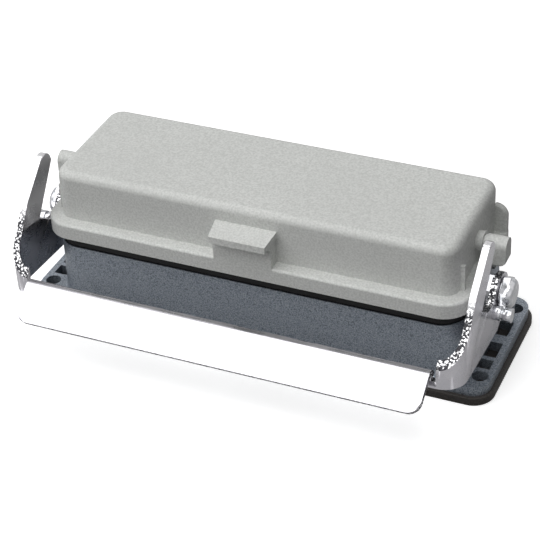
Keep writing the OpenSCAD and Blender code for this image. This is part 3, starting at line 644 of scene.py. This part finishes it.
def markCutEdges(piece, material):
    # faces that the shear left, told from the rolled ones by which way they look
    low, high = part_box("locking_lever")
    sheet, bend = leverCut["sheet"], leverCut["bend"]
    slope = math.radians(leverCut["slope"])
    front = Vector((0, -math.cos(slope), -math.sin(slope)))
    webFront = low.y + leverCut["webDepth"]
    mesh = piece.data
    mesh.materials.append(material)
    for face in mesh.polygons:
        reach, y, look = abs(face.center.x), face.center.y, face.normal
        if reach > high.x - sheet - 0.1 * mm and y > webFront + bend:
            cut = abs(look.x) < leverCut["armFacing"]
        elif reach > leverCut["handleHalf"] + 0.05 * mm:
            cut = abs(look.z) > leverCut["bendFacing"]
        else:
            frontEdge = y < low.y + leverCut["frontDepth"] and look.dot(front) > leverCut["bendFacing"]
            cut = abs(look.x) > leverCut["armFacing"] or look.z < -leverCut["underFacing"] or frontEdge
        if cut:
            face.material_index = 1


markCutEdges(bpy.data.objects["lockingLever"], cutEdge())
print("pieces finished:", len(edgeBreak), "with broken edges")


# floor, light and camera

studio = {
    "paper": 0.9,  # colour of the floor and backdrop
    "paperBounce": 0.18,  # the same for light that it throws back on the object
    "paperGlow": 0.6,  # lifts the lit paper to white where it is seen
    "glowRange": (0.4, 1.4),  # from here on out the glow grows to full white
    "reach": 3.0,
    "air": 0.09,
    "aim": (0, 0, 0.02),
    "keyPlace": (-0.40, -0.43, 1.06),
    "keySize": (1.8, 1.8),
    "keyPower": 20.5,
    "fillPlace": (0.9, -0.5, 0.6),
    "fillSize": (0.8, 0.8),
    "fillPower": 0.15,
}


def seenDirectly(tree):
    # 1 for what the camera sees, also by reflection or through glass
    path = addNode(tree, "ShaderNodeLightPath").outputs
    mirrored = calc(tree, "MAXIMUM", path["Is Glossy Ray"], path["Is Transmission Ray"])
    return calc(tree, "MAXIMUM", path["Is Camera Ray"], mirrored)


def buildFloor():
    mesh = bpy.data.meshes.new("studioFloor")
    far = studio["reach"]
    corners = [(-far, -far, 0), (far, -far, 0), (far, far, 0), (-far, far, 0)]
    mesh.from_pydata(corners, [], [(0, 1, 2, 3)])
    floor = bpy.data.objects.new("studioFloor", mesh)
    bpy.context.scene.collection.objects.link(floor)
    material, tree, shader = newMaterial("studioPaper", Roughness=0.9, Specular_IOR_Level=0.1)
    seen = seenDirectly(tree)
    bounce, paper = ((studio[k],) * 3 for k in ("paperBounce", "paper"))
    tree.links.new(mixColours(tree, seen, bounce, paper), shader.inputs["Base Color"])
    shader.inputs["Emission Color"].default_value = (1, 1, 1, 1)
    inView = addNode(tree, "ShaderNodeLightPath").outputs["Is Camera Ray"]
    # far from the lamps the paper glows more, so that it meets the backdrop without an edge
    place = addNode(tree, "ShaderNodeTexCoord").outputs["Object"]
    away = addNode(tree, "ShaderNodeVectorMath", {"Vector": place}, operation="LENGTH").outputs["Value"]
    glow = mapRange(tree, away, *studio["glowRange"], studio["paperGlow"], 1.0)
    tree.links.new(calc(tree, "MULTIPLY", inView, glow), shader.inputs["Emission Strength"])
    mesh.materials.append(material)


def buildWorld():
    world = bpy.data.worlds.new("studioAir")
    world.use_nodes = True
    tree = world.node_tree
    background = tree.nodes["Background"]
    background.inputs["Color"].default_value = (1, 1, 1, 1)
    strength = mapRange(tree, seenDirectly(tree), 0, 1, studio["air"], 1.0)
    tree.links.new(strength, background.inputs["Strength"])
    bpy.context.scene.world = world


def areaLight(name, place, size, power):
    data = bpy.data.lights.new(name, "AREA")
    data.shape = "RECTANGLE"
    data.size, data.size_y = size
    data.energy = power
    light = bpy.data.objects.new(name, data)
    bpy.context.scene.collection.objects.link(light)
    light.location = place
    light.rotation_euler = (Vector(studio["aim"]) - Vector(place)).to_track_quat("-Z", "Y").to_euler()


cameraLook = {
    "azimuth": 25.43,
    "elevation": 35.29,
    "roll": -3.32,
    "distance": 497.23 * mm,
    "lens": 118.5,
    "target": Vector((0, -5.43, 17.47)) * mm,
}


def buildCamera():
    turn, lift, roll = (math.radians(cameraLook[k]) for k in ("azimuth", "elevation", "roll"))
    back = Vector((math.sin(turn) * math.cos(lift), -math.cos(turn) * math.cos(lift), math.sin(lift)))
    level = Vector((math.cos(turn), math.sin(turn), 0))
    upright = back.cross(level)
    right = math.cos(roll) * level + math.sin(roll) * upright
    up = math.cos(roll) * upright - math.sin(roll) * level
    data = bpy.data.cameras.new("studioCamera")
    data.lens = cameraLook["lens"]
    data.sensor_width = 36
    camera = bpy.data.objects.new("studioCamera", data)
    bpy.context.scene.collection.objects.link(camera)
    place = Matrix((right, up, back)).transposed().to_4x4()
    place.translation = cameraLook["target"] + back * cameraLook["distance"]
    camera.matrix_world = place
    data.clip_start, data.clip_end = 0.01, 20
    bpy.context.scene.camera = camera


buildFloor()
buildWorld()
areaLight("keyPanel", studio["keyPlace"], studio["keySize"], studio["keyPower"])
areaLight("fillPanel", studio["fillPlace"], studio["fillSize"], studio["fillPower"])
buildCamera()
bpy.context.scene.view_settings.view_transform = "Standard"
print("studio built")
